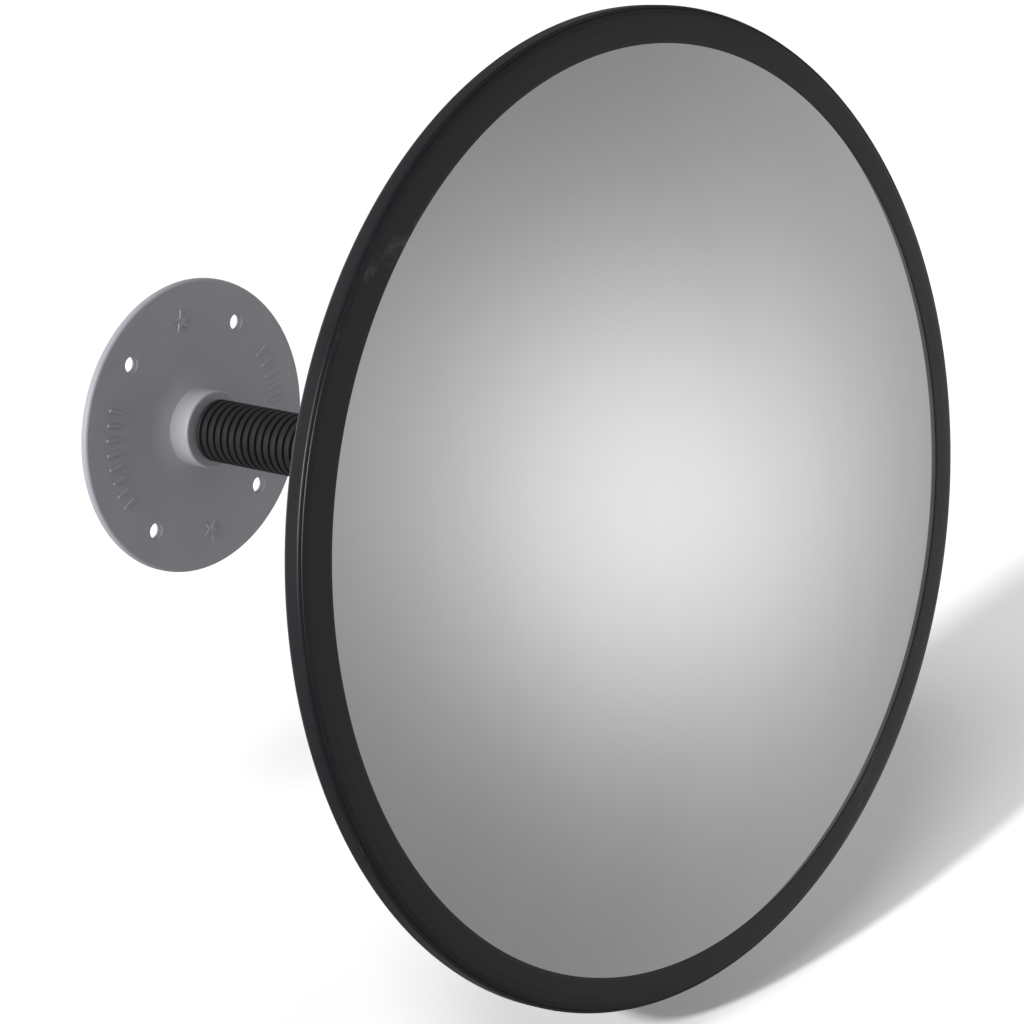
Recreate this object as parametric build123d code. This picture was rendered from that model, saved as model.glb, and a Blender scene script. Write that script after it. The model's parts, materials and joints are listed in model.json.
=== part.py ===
from build123d import *
import math
import os

# Convex security mirror on a flexible neck. Millimetres.
# The origin is the centre of the wall plate's back face, +Z is up and the mirror faces -Y.

# ---- driving dimensions ----
plate_radius = 49.0
plate_thick = 2.6
plate_turn = -9.4  # the plate as fixed: its marks stand 9.4 degrees anticlockwise of upright
boss_radius = 12.95
boss_face = 11.5  # from the wall to the boss's open end
boss_foot = (6.5, 1.2)  # how far out and how high the disc rises towards the boss
boss_root = 0.4
edge_round = 1.1
mouth_round = 0.6
screw_ring = 37.5
screw_hole_radius = 2.7
screw_spread = 39.8  # each hole stands this many degrees either side of a star
mark_height = 0.45
star_radius = 3.6
tick_count = 8  # raised bars in each wide gap between the holes
tick_pitch_deg = 7.2
tick_size = (1.3, 6.0)

stud_radius = 5.0  # M10 thread, drawn plain
stud_reach = 6.3  # from the socket's floor to the stud's tip
stud_hole_radius = 5.15
socket_depth = 4.5  # how far the neck enters the boss
entry_radius = 8.3  # the neck's thinner end, which enters the boss
entry_gap = 1.6  # from the boss to the first rib
recess_radius = 11.3  # room for washer and nut, open at the plate's back
recess_depth = 5.0
washer_size = (9.5, 1.2)
nut_flats = 14.0
nut_thick = 3.0
nut_chamfer = 0.25
flange_thick = 1.5  # ferrule's head inside the neck

neck_radius = 10.3
sleeve_bore = 7.5
rib_pitch = 3.17
ribs_per_link = 4
end_ribs = 2  # ribs between a boss and the nearest bend
first_groove = 0.4  # from the boss to the middle of the groove before those ribs
bends = 12
groove_width = 0.9
groove_depth = 1.9
rib_chamfer = 0.3
gap_angle = 5.6  # slope of a link's end faces, so that bent links stay apart
gap_flat = 0.2
ball_radius = 6.0
socket_clearance = 0.08
# slope of the neck after each up-and-down bend, counted from the wall
rest_slopes = (0.0, 0.0, -2.6, -2.2, 0.4, 3.36)

rim_radius = 150.0
rim_distance = 199.2  # wall to the plane of the rim's widest circle
lip_radius = 139.0  # inner edge of the trim's front lip
lip_rise = 2.6
lip_edge = 0.07  # thickness of the lip where it meets the dome
band_rise = 2.1  # height of the front band at its middle
trim_back = -5.6
trim_back_lip_radius = 139.5
trim_wall = 2.2
flange_top = 1.05  # front of the dome's flange
dome_sphere_radius = 282.0
dome_foot_radius = 141.5  # where the cap meets its flange, under the lip
dome_thick = 2.0
dome_flange_radius = 147.0
cover_thick = 2.0
cover_bend_radius = 134.0  # where the cover's rim turns into its cone
cover_flat_radius = 56.0

load_plate_radius = 47.0
load_plate_thick = 1.5
head_screw_radius = 2.5
head_screw_head = (4.6, 2.6)
head_round = 1.4
drive_slot = (5.0, 1.1, 1.2)
head_screw_spare = 1.0  # thread past the nut
head_nut = (4.0, 3.0)
head_washer = (5.6, 0.8)

# ---- frames ----
# Each part is drawn along +Z with +Y up, then laid along the neck.
wall_frame = Plane(origin=(0, 0, 0), x_dir=(1, 0, 0), z_dir=(0, -1, 0))


def frame_at(y, z, slope):
    """Frame whose +Z points along the neck at this slope above level."""
    rad = math.radians(slope)
    return Plane(origin=(0, y, z), x_dir=(1, 0, 0), z_dir=(0, -math.cos(rad), math.sin(rad)))


def end_length():
    """Length of neck between a boss and the nearest bend."""
    return first_groove + end_ribs * rib_pitch


def neck_frames():
    """Frames at the wall end, at each bend and at the mirror end of the neck."""
    link = ribs_per_link * rib_pitch
    end = end_length()
    y, z, slope = -boss_face, 0.0, 0.0
    frames = [frame_at(y, z, slope)]
    for i in range(bends + 1):
        step = end if i in (0, bends) else link
        rad = math.radians(slope)
        y -= step * math.cos(rad)
        z += step * math.sin(rad)
        if i < bends and i % 2 == 1:
            slope = rest_slopes[i // 2]
        frames.append(frame_at(y, z, slope))
    return frames


def ring(inner, outer, low, high):
    """Plain ring between two heights."""
    body = Pos(0, 0, low) * extrude(Circle(outer), high - low)
    if inner > 0:
        body -= Pos(0, 0, low) * extrude(Circle(inner), high - low)
    return body


def turned(points):
    """Solid of revolution from (radius, height) points."""
    face = make_face(Plane.XZ * Polyline(*points, close=True))
    return revolve(face, Axis.Z)


# ---- plates ----
def circles(body, radius):
    """Circular edges of this radius, lowest first."""
    found = body.edges().filter_by(GeomType.CIRCLE)
    return found.filter_by(lambda edge: abs(edge.radius - radius) < 0.01).sort_by(Axis.Z)


def screw_angles():
    """Angles of the screw holes, clockwise from the plate's own top."""
    return [-screw_spread, screw_spread, 180 - screw_spread, 180 + screw_spread]


def polar(radius, clockwise):
    """Point at a clock angle from the top."""
    rad = math.radians(clockwise)
    return (radius * math.sin(rad), radius * math.cos(rad))


def star(radius):
    """Plain five-pointed star, one point up."""
    points = [polar(radius * (1.0, 0.42)[i % 2], 36 * i) for i in range(10)]
    return make_face(Polyline(*points, close=True))


def plate_marks():
    """Raised stars and short raised bars on the plate's face."""
    marks = []
    for top in (0, 180):
        x, y = polar(screw_ring - 1.0, top)
        marks.append(Pos(x, y, plate_thick) * extrude(star(star_radius), mark_height))
    for side in (90, 270):
        for i in range(tick_count):
            angle = side + tick_pitch_deg * (i - (tick_count - 1) / 2)
            x, y = polar(screw_ring - 0.5, angle)
            bar = extrude(Rectangle(*tick_size), mark_height)
            marks.append(Pos(x, y, plate_thick) * Rot(0, 0, -angle) * bar)
    return marks


def moulded_plate(marked):
    """Disc with a hollow boss, four holes, and a nut recess in its back."""
    body = ring(0, plate_radius, 0, plate_thick)
    body = fillet(circles(body, plate_radius), edge_round)
    reach, rise = boss_foot
    body += Pos(0, 0, plate_thick + rise / 2) * Cone(boss_radius + reach, boss_radius, rise)
    body += ring(0, boss_radius, plate_thick, boss_face)
    body = fillet(circles(body, boss_radius)[:1], boss_root)
    body = fillet(circles(body, boss_radius)[-1:], mouth_round)
    body -= ring(0, entry_radius + 0.1, boss_face - socket_depth, boss_face + 1)
    body -= ring(0, recess_radius, -1, recess_depth)
    body -= ring(0, stud_hole_radius, 0, boss_face)
    for angle in screw_angles():
        x, y = polar(screw_ring, angle)
        body -= Pos(x, y, 0) * ring(0, screw_hole_radius, -1, plate_thick + 1)
    if marked:
        for mark in plate_marks():
            body += mark
    return body


# ---- threaded ends: z = 0 at the seat in the boss, the stud points down ----
seat = boss_face - socket_depth
web = seat - recess_depth


def ferrule():
    """Threaded stud with a flange that the neck's core sits on."""
    top_flange = ring(0, sleeve_bore, 0, flange_thick)
    stud = ring(0, stud_radius, -stud_reach, 0)
    return top_flange + stud


def end_washer():
    return ring(stud_hole_radius, washer_size[0], -web - washer_size[1], -web)


def hex_nut(flats, bore, low, high):
    body = Pos(0, 0, low) * extrude(RegularPolygon(flats / 2, 6, major_radius=False), high - low)
    body = chamfer(body.edges().filter_by(Plane.XY), nut_chamfer)
    return body - ring(0, bore, low - 1, high + 1)


def end_nut():
    low = -web - washer_size[1] - nut_thick
    return hex_nut(nut_flats, stud_radius, low, low + nut_thick)


# ---- neck ----
def rib_points(count, start):
    """Outline of a row of ribs up the outside of the sleeve."""
    half = groove_width / 2
    low_radius = neck_radius - groove_depth
    points = []
    for i in range(count):
        low = start + i * rib_pitch + half
        high = start + (i + 1) * rib_pitch - half
        points += [
            (low_radius, low),
            (neck_radius - rib_chamfer, low),
            (neck_radius, low + rib_chamfer),
            (neck_radius, high - rib_chamfer),
            (neck_radius - rib_chamfer, high),
            (low_radius, high),
        ]
    return points


def cone_cut(length, at_top):
    """Space that a link gives up at a bend so that its neighbour can tilt."""
    reach = neck_radius + 2
    rise = gap_flat + reach * math.tan(math.radians(gap_angle))
    cut = turned([(0, gap_flat), (reach, rise), (reach, -2), (0, -2)])
    if at_top:
        cut = Pos(0, 0, length) * Rot(180, 0, 0) * cut
    return cut


def sleeve(length, below, above, bend_low, bend_high):
    """Ribbed sleeve; below and above are plain ends inside a boss."""
    count = round(length / rib_pitch)
    start = first_groove if below else 0
    low_radius = neck_radius - groove_depth
    outline = [(sleeve_bore, -below), (low_radius, -below)]
    outline += rib_points(count, start)
    outline += [(low_radius, length + above), (sleeve_bore, length + above)]
    body = turned(outline)
    if below:
        body -= ring(entry_radius, neck_radius + 1, -below - 1, entry_gap)
    if above:
        body -= ring(entry_radius, neck_radius + 1, length - entry_gap, length + above + 1)
    if bend_low:
        body -= cone_cut(length, False)
    if bend_high:
        body -= cone_cut(length, True)
    return body


def core(length, below, above, bend_low, bend_high):
    """Steel core of one link: a rounded nose at one end turns in a cup at the other."""
    body = ring(0, sleeve_bore, -below, length + above)
    if bend_low:
        body -= cone_cut(length, False)
        body -= Sphere(ball_radius + socket_clearance)
    if bend_high:
        body -= cone_cut(length, True)
        body += Pos(0, 0, length) * Sphere(ball_radius)
    return body


# ---- mirror head: z = 0 in the plane of the rim's widest circle, mirror facing +Z ----


def edge_trim():
    """Channel that wraps the edges of dome and cover."""
    pocket = rim_radius - trim_wall
    top = flange_top
    bottom = top - dome_thick - cover_thick
    outline = [
        (trim_back_lip_radius, bottom),
        (trim_back_lip_radius, trim_back + 0.5),
        (trim_back_lip_radius + 0.5, trim_back),
        (rim_radius - 1.6, trim_back),
        (rim_radius - 0.4, trim_back + 0.5),
        (rim_radius, trim_back + 1.6),
        (rim_radius, -0.6),
        (rim_radius - 0.3, 0.1),
        (rim_radius - 0.9, 0.5),
        (rim_radius - 1.4, 0.45),
        (rim_radius - 1.8, 0.75),
        (rim_radius - 5.5, band_rise),
        (lip_radius + 1.0, lip_rise),
        (lip_radius, lip_rise),
        (lip_radius, lip_rise - lip_edge),
        (dome_foot_radius + 0.25, top),
        (pocket, top),
        (pocket, bottom),
    ]
    return turned(outline)


def dome_arc_centre():
    """Height of the sphere's centre that puts the dome's foot on the flange."""
    return flange_top - math.sqrt(dome_sphere_radius ** 2 - dome_foot_radius ** 2)


def mirror_dome():
    """Acrylic cap with a flat flange, one thickness all over."""
    foot = dome_foot_radius
    centre = dome_arc_centre()
    inner_radius = dome_sphere_radius - dome_thick
    low = flange_top - dome_thick
    inner_foot = math.sqrt(inner_radius ** 2 - (low - centre) ** 2)

    def on_arc(radius, angle):
        return (radius * math.sin(angle), centre + radius * math.cos(angle))

    outer_angle = math.asin(foot / dome_sphere_radius)
    inner_angle = math.asin(inner_foot / inner_radius)
    outer_arc = ThreePointArc(
        (foot, flange_top),
        on_arc(dome_sphere_radius, outer_angle / 2),
        (0, centre + dome_sphere_radius),
    )
    inner_arc = ThreePointArc(
        (0, centre + inner_radius),
        on_arc(inner_radius, inner_angle / 2),
        (inner_foot, low),
    )
    middle = Line((0, centre + dome_sphere_radius), (0, centre + inner_radius))
    flange = Polyline(
        (inner_foot, low),
        (dome_flange_radius, low),
        (dome_flange_radius, flange_top),
        (foot, flange_top),
    )
    face = make_face(Plane.XZ * (outer_arc + middle + inner_arc + flange))
    return revolve(face, Axis.Z)


def back_cover(flat_height):
    """Dished cover: flat rim in the trim, shallow cone, flat middle under the plate."""
    top = flange_top - dome_thick
    low = top - cover_thick
    outline = [
        (0, flat_height),
        (cover_flat_radius, flat_height),
        (cover_bend_radius, low),
        (dome_flange_radius, low),
        (dome_flange_radius, top),
        (cover_bend_radius - 0.4, top),
        (cover_flat_radius - 0.4, flat_height + cover_thick),
        (0, flat_height + cover_thick),
    ]
    body = turned(outline)
    body -= ring(0, recess_radius, flat_height - 1, flat_height + cover_thick + 1)
    for x, y in head_screw_places():
        body -= Pos(x, y, flat_height) * ring(0, screw_hole_radius, -1, cover_thick + 1)
    return body


def head_screw_places():
    return [polar(screw_ring, angle) for angle in screw_angles()]


def load_plate(low):
    body = ring(recess_radius, load_plate_radius, low, low + load_plate_thick)
    for x, y in head_screw_places():
        body -= Pos(x, y, low) * ring(0, screw_hole_radius, -1, load_plate_thick + 1)
    return body


def at_head_screws(piece):
    return Compound(children=[Pos(x, y, 0) * piece for x, y in head_screw_places()])


def head_screw(face, tip):
    """Pan-head machine screw; its head stands below the plate's face."""
    radius, height = head_screw_head
    shank = ring(0, head_screw_radius, face, tip)
    head = ring(0, radius, face - height, face)
    head = fillet(circles(head, radius)[:1], head_round)
    length, width, depth = drive_slot
    cross = Box(length, width, 2 * depth) + Box(width, length, 2 * depth)
    return head + shank - Pos(0, 0, face - height) * cross


# ---- assembly ----
nodes = {}
frames = neck_frames()

nodes["wall_plate"] = wall_frame * Rot(0, 0, -plate_turn) * moulded_plate(True)
wall_seat = wall_frame * Pos(0, 0, seat)
nodes["wall_end_ferrule"] = wall_seat * ferrule()
nodes["wall_end_washer"] = wall_seat * end_washer()
nodes["wall_end_nut"] = wall_seat * end_nut()

plain_end = socket_depth
for i in range(bends + 1):
    first = i == 0
    last = i == bends
    length = end_length() if first or last else ribs_per_link * rib_pitch
    below = plain_end if first else 0
    above = plain_end if last else 0
    name = f"{i + 1:02d}"
    nodes["neck_sleeve_" + name] = frames[i] * sleeve(length, below, above, not first, not last)
    core_below = plain_end - flange_thick if first else 0
    core_above = plain_end - flange_thick if last else 0
    nodes["neck_core_" + name] = frames[i] * core(length, core_below, core_above, not first, not last)

head_slope = rest_slopes[-1]
neck_end = frames[-1].origin
rad = math.radians(head_slope)
rim_gap = (neck_end.Y + rim_distance) / math.cos(rad)
rim_centre = (0, -rim_distance, neck_end.Z + rim_gap * math.sin(rad))
rim_frame = frame_at(rim_centre[1], rim_centre[2], head_slope)
flat_height = boss_face - rim_gap  # back cover's outer face, measured from the rim's plane

# The mirror's plate is the same moulding turned end for end on the cover.
plate_frame = rim_frame * Pos(0, 0, flat_height) * Rot(180, 0, 0)
nodes["mirror_plate"] = plate_frame * moulded_plate(False)
mirror_seat = plate_frame * Pos(0, 0, seat)
nodes["mirror_end_ferrule"] = mirror_seat * ferrule()
nodes["mirror_end_washer"] = mirror_seat * end_washer()
nodes["mirror_end_nut"] = mirror_seat * end_nut()

cover_top = flat_height + cover_thick
nut_low = cover_top + load_plate_thick + head_washer[1]
nodes["back_cover"] = rim_frame * back_cover(flat_height)
nodes["load_plate"] = rim_frame * load_plate(cover_top)
screw = head_screw(flat_height - plate_thick, nut_low + head_nut[1] + head_screw_spare)
nodes["mirror_plate_screws"] = rim_frame * at_head_screws(screw)
washer = ring(head_screw_radius + 0.1, head_washer[0], nut_low - head_washer[1], nut_low)
nodes["mirror_plate_washers"] = rim_frame * at_head_screws(washer)
nut = hex_nut(2 * head_nut[0], head_screw_radius, nut_low, nut_low + head_nut[1])
nodes["mirror_plate_nuts"] = rim_frame * at_head_screws(nut)
nodes["mirror_dome"] = rim_frame * mirror_dome()
nodes["edge_trim"] = rim_frame * edge_trim()

os.makedirs("parts", exist_ok=True)
for name, solid in nodes.items():
    export_step(solid, f"parts/{name}.step")
for i, frame in enumerate(frames[1:-1]):
    print("bend", i + 1, [round(value, 4) for value in frame.origin])
print("rim centre", [round(value, 4) for value in rim_centre], "slope", head_slope)
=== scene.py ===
import json
import math

import bmesh
import bpy
from mathutils import Matrix, Vector

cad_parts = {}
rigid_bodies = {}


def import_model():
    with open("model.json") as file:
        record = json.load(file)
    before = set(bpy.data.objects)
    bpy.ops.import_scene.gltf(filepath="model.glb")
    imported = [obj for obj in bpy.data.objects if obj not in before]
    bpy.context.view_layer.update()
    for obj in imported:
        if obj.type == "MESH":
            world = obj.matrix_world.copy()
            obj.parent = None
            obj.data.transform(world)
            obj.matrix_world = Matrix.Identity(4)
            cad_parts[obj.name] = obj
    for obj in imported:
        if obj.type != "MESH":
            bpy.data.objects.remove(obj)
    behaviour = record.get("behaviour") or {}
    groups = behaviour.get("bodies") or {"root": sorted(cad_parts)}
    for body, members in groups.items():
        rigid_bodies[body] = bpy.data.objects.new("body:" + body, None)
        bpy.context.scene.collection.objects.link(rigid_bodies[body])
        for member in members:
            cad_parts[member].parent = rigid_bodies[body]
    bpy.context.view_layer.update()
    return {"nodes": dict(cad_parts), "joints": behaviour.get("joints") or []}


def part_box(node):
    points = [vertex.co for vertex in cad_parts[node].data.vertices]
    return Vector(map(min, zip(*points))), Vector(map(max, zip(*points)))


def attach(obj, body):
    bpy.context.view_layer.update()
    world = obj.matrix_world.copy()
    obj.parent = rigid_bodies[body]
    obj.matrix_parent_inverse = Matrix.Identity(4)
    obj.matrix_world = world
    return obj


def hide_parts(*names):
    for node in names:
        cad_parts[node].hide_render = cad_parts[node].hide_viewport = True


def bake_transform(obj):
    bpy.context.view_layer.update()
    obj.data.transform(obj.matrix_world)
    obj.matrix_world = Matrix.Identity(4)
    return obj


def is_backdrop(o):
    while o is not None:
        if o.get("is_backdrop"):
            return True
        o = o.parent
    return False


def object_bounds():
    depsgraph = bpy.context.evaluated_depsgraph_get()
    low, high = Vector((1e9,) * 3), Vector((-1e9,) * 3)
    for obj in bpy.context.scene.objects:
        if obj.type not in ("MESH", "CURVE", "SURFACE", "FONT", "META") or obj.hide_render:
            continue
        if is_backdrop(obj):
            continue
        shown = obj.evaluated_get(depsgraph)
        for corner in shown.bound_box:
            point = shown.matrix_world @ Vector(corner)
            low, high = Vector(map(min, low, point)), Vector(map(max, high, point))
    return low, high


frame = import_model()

# Round convex mirror on a ribbed neck. Sizes in the dictionaries are millimetres,
# and each shape is drawn along its own z before it is laid along the neck.
mm = 0.001
scene = bpy.context.scene
print("frame loaded,", len(frame["nodes"]), "nodes")


# frames along the neck
def axisFrame(origin, tilt):
    # local z points from the wall to the mirror, local y is up
    x = Vector((1, 0, 0))
    y = Vector((0, math.sin(tilt), math.cos(tilt)))
    z = Vector((0, -math.cos(tilt), math.sin(tilt)))
    place = Matrix((x, y, z)).transposed().to_4x4()
    place.translation = origin
    return place


neckSizes = {
    "ribPitch": 3.17,
    "ribsPerLink": 4,
    "endRibs": 2,
    "firstGroove": 0.4,  # from a boss to the middle of the nearest groove
    "radius": 10.2,
    "bore": 7.5,
    "endRadius": 8.3,  # the thinner end that enters a boss
    "endGap": 1.6,  # from a boss to the first rib
    "grooveDepth": 1.85,
    "grooveShare": 0.29,  # part of the pitch that is groove
    "crown": 0.1,
    "rowsPerRib": 26,
    "columns": 97,
    "plainEnd": 4.5,  # runs inside the boss
    "springTurns": 6,  # per link
    "springWire": 1.0,
    "springPlay": 0.1,  # between the wire and the bore
    "endPlay": 0.03,  # the swept end stands this far outside the plain end
    "endOverlap": 0.1,
}
bends = [Vector(joint["pos_m"]) for joint in frame["joints"]]
chain = [frame["joints"][0]["parent"]] + [joint["child"] for joint in frame["joints"]]
trimLow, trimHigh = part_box("edge_trim")
trimMiddle = (trimLow + trimHigh) / 2
headAxis = (trimMiddle - bends[-1]).normalized()
headTilt = math.asin(headAxis.z)
widestAhead = 1.745  # the trim's widest circle stands this far before the middle of its box
rimCentre = trimMiddle + headAxis * widestAhead * mm
neckStart = Vector((0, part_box("wall_plate")[0].y, 0))
endLength = (neckSizes["endRibs"] * neckSizes["ribPitch"] + neckSizes["firstGroove"]) * mm
neckEnd = bends[-1] + headAxis * endLength
bossAhead = (neckEnd - rimCentre).dot(headAxis)  # along the head's axis, from the rim
wallFrame = axisFrame(Vector((0, 0, 0)), 0)
headFrame = axisFrame(rimCentre, headTilt)
turnOver = Matrix.Rotation(math.pi, 4, "X")


# mesh tools
def softened(corners, steps=5):
    # corners are (radius, height, rounding); gives the outline with each corner rounded
    outline = []
    count = len(corners)
    for i, (x, y, rounding) in enumerate(corners):
        here = Vector((x, y))
        if rounding <= 0:
            outline.append(here)
            continue
        back = Vector(corners[i - 1][:2]) - here
        ahead = Vector(corners[(i + 1) % count][:2]) - here
        half = back.angle(ahead) / 2
        reach = min(rounding / math.tan(half), 0.49 * back.length, 0.49 * ahead.length)
        radius = reach * math.tan(half)
        back.normalize()
        ahead.normalize()
        centre = here + (back + ahead).normalized() * (radius / math.sin(half))
        first = here + back * reach - centre
        last = here + ahead * reach - centre
        start = math.atan2(first.y, first.x)
        sweep = math.atan2(last.y, last.x) - start
        sweep = (sweep + math.pi) % (2 * math.pi) - math.pi
        for k in range(steps + 1):
            angle = start + sweep * k / steps
            outline.append(centre + radius * Vector((math.cos(angle), math.sin(angle))))
    return outline


def arcPoints(centre, radius, start, end, steps):
    # points of an arc, angles in degrees from the +z direction towards +radius
    points = []
    for k in range(steps + 1):
        angle = math.radians(start + (end - start) * k / steps)
        points.append(Vector(centre) + radius * Vector((math.sin(angle), math.cos(angle))))
    return points


def acrossFace(first, last, height, count):
    # extra outline points across a flat face, so that its faces stay small
    return [(first + (last - first) * k / (count + 1), height, 0) for k in range(1, count + 1)]


def meshFrom(name, bm, place):
    bmesh.ops.remove_doubles(bm, verts=bm.verts, dist=1e-7)
    bmesh.ops.recalc_face_normals(bm, faces=bm.faces)
    bm.transform(place)
    mesh = bpy.data.meshes.new(name)
    bm.to_mesh(mesh)
    bm.free()
    return mesh


def joinRings(bm, rings, segments):
    # faces from each ring to the next, the last back to the first; one point is a pole
    for i, ring in enumerate(rings):
        other = rings[(i + 1) % len(rings)]
        if len(ring) == 1 and len(other) == 1:
            continue
        for k in range(segments):
            n = (k + 1) % segments
            if len(ring) == 1:
                bm.faces.new((ring[0], other[k], other[n]))
            elif len(other) == 1:
                bm.faces.new((ring[k], other[0], ring[n]))
            else:
                bm.faces.new((ring[k], other[k], other[n], ring[n]))


def latheMesh(name, outline, place, segments=192):
    # turns a closed outline of (radius, height) in mm about z; a radius of 0 is one pole point
    bm = bmesh.new()
    turns = [2 * math.pi * k / segments for k in range(segments)]
    rings = []
    for radius, height in outline:
        if radius < 1e-6:
            rings.append([bm.verts.new((0, 0, height * mm))])
        else:
            spot = radius * mm
            rings.append([
                bm.verts.new((spot * math.cos(a), spot * math.sin(a), height * mm)) for a in turns
            ])
    joinRings(bm, rings, segments)
    return meshFrom(name, bm, place)


def smoothMesh(mesh, sharpAngle=35):
    mesh.polygons.foreach_set("use_smooth", [True] * len(mesh.polygons))
    mesh.set_sharp_from_angle(angle=math.radians(sharpAngle))
    mesh.update()


def makeObject(name, mesh):
    piece = bpy.data.objects.new(name, mesh)
    scene.collection.objects.link(piece)
    return piece


def addPiece(name, mesh, material, body, stands=(), sharpAngle=35, even=False):
    smoothMesh(mesh, sharpAngle)
    if even:
        mesh = evenShading(mesh)
    mesh.materials.clear()
    mesh.materials.append(material)
    piece = makeObject(name, mesh)
    if body:
        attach(piece, body)
    if stands:
        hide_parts(*stands)
    return piece


def combined(base, others, operation):
    # exact boolean of mesh objects; the helpers are removed
    for other in others:
        cut = base.modifiers.new("cut", "BOOLEAN")
        cut.operation = operation
        cut.solver = "EXACT"
        cut.object = other
    mesh = evaluatedMesh(base)
    for helper in [base, *others]:
        bpy.data.objects.remove(helper)
    return mesh


def evenShading(mesh):
    # leans the normals towards the larger faces, so that flat faces look flat
    host = makeObject("host", mesh)
    lean = host.modifiers.new("lean", "WEIGHTED_NORMAL")
    lean.keep_sharp = True
    result = evaluatedMesh(host)
    bpy.data.objects.remove(host)
    return result


def evaluatedMesh(host):
    graph = bpy.context.evaluated_depsgraph_get()
    return bpy.data.meshes.new_from_object(host.evaluated_get(graph), depsgraph=graph)


# geometry node tools
def newTool(name, inputs):
    # a geometry node tree with named inputs: (label, socket kind, value)
    tree = bpy.data.node_groups.new(name, "GeometryNodeTree")
    tree.interface.new_socket("Geometry", in_out="INPUT", socket_type="NodeSocketGeometry")
    for label, kind, value in inputs:
        socket = tree.interface.new_socket(label, in_out="INPUT", socket_type=kind)
        if value is not None:
            socket.default_value = value
    tree.interface.new_socket("Geometry", in_out="OUTPUT", socket_type="NodeSocketGeometry")
    return tree, tree.nodes.new("NodeGroupInput"), tree.nodes.new("NodeGroupOutput")


def put(tree, kind, **settings):
    node = tree.nodes.new(kind)
    for key, value in settings.items():
        setattr(node, key, value)
    return node


def feed(tree, socket, value):
    if isinstance(value, bpy.types.NodeSocket):
        tree.links.new(value, socket)
    else:
        socket.default_value = value


def calc(tree, operation, a, b=0.0, c=0.0, clamp=False):
    node = put(tree, "ShaderNodeMath", operation=operation, use_clamp=clamp)
    for socket, value in zip(node.inputs, (a, b, c)):
        feed(tree, socket, value)
    return node.outputs[0]


def vectorCalc(tree, operation, a, b=None, scale=None):
    node = put(tree, "ShaderNodeVectorMath", operation=operation)
    feed(tree, node.inputs[0], a)
    if b is not None:
        feed(tree, node.inputs[1], b)
    if scale is not None:
        feed(tree, node.inputs["Scale"], scale)
    return node.outputs[0]


def pick(tree, test, ifFalse, ifTrue):
    node = put(tree, "GeometryNodeSwitch", input_type="FLOAT")
    feed(tree, node.inputs[0], test)
    feed(tree, node.inputs[1], ifFalse)
    feed(tree, node.inputs[2], ifTrue)
    return node.outputs[0]


def closeTool(tree, geometry, groupIn, groupOut):
    real = put(tree, "GeometryNodeRealizeInstances")
    paint = put(tree, "GeometryNodeSetMaterial")
    tree.links.new(geometry, real.inputs[0])
    tree.links.new(real.outputs[0], paint.inputs["Geometry"])
    tree.links.new(groupIn.outputs["Material"], paint.inputs["Material"])
    tree.links.new(paint.outputs[0], groupOut.inputs[0])


def runTool(tree, settings):
    # runs a tree on an empty mesh and gives the plain result
    host = makeObject("host", bpy.data.meshes.new("host"))
    modifier = host.modifiers.new("tool", "NODES")
    modifier.node_group = tree
    for item in tree.interface.items_tree:
        if item.item_type == "SOCKET" and item.in_out == "INPUT" and item.name in settings:
            modifier[item.identifier] = settings[item.name]
    mesh = evaluatedMesh(host)
    host.modifiers.remove(modifier)
    bpy.data.objects.remove(host)
    return mesh


# shader groups
def newMask(name, inputs, outputs):
    tree = bpy.data.node_groups.new(name, "ShaderNodeTree")
    for label, value in inputs:
        socket = tree.interface.new_socket(label, in_out="INPUT", socket_type="NodeSocketFloat")
        socket.default_value = value
    for label in outputs:
        tree.interface.new_socket(label, in_out="OUTPUT", socket_type="NodeSocketFloat")
    return tree, tree.nodes.new("NodeGroupInput"), tree.nodes.new("NodeGroupOutput")


def noise(tree, scale, detail=3.0, roughness=0.5, vector=None):
    node = put(tree, "ShaderNodeTexNoise")
    feed(tree, node.inputs["Scale"], scale)
    node.inputs["Detail"].default_value = detail
    node.inputs["Roughness"].default_value = roughness
    if vector is None:
        vector = put(tree, "ShaderNodeTexCoord").outputs["Object"]
    tree.links.new(vector, node.inputs["Vector"])
    return node.outputs["Fac"]


def spread(tree, value, low, high, toLow=0.0, toHigh=1.0):
    node = put(tree, "ShaderNodeMapRange", clamp=True)
    for socket, number in zip(node.inputs, (value, low, high, toLow, toHigh)):
        feed(tree, socket, number)
    return node.outputs[0]


def buildGrain():
    # fine skin of a moulded part: a height for bump and a slow patchy mask
    tree, groupIn, groupOut = newMask(
        "mouldedGrain",
        [("Grain Size", 0.35), ("Patch Size", 25.0), ("Depth", 1.0)],
        ["Height", "Patches"],
    )
    fine = noise(tree, calc(tree, "DIVIDE", 1000.0, groupIn.outputs["Grain Size"]), 2.0, 0.6)
    slow = noise(tree, calc(tree, "DIVIDE", 1000.0, groupIn.outputs["Patch Size"]), 4.0, 0.55)
    tree.links.new(calc(tree, "MULTIPLY", fine, groupIn.outputs["Depth"]), groupOut.inputs["Height"])
    tree.links.new(spread(tree, slow, 0.3, 0.7), groupOut.inputs["Patches"])
    return tree


def buildWear():
    # rubbed convex edges, broken up by noise
    tree, groupIn, groupOut = newMask(
        "edgeRub", [("Start", 0.51), ("End", 0.56), ("Break Size", 4.0)], ["Mask"],
    )
    point = put(tree, "ShaderNodeNewGeometry").outputs["Pointiness"]
    rub = spread(tree, point, groupIn.outputs["Start"], groupIn.outputs["End"])
    scale = calc(tree, "DIVIDE", 1000.0, groupIn.outputs["Break Size"])
    broken = spread(tree, noise(tree, scale, 3.0), 0.35, 0.65)
    tree.links.new(calc(tree, "MULTIPLY", rub, broken), groupOut.inputs["Mask"])
    return tree


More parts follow.
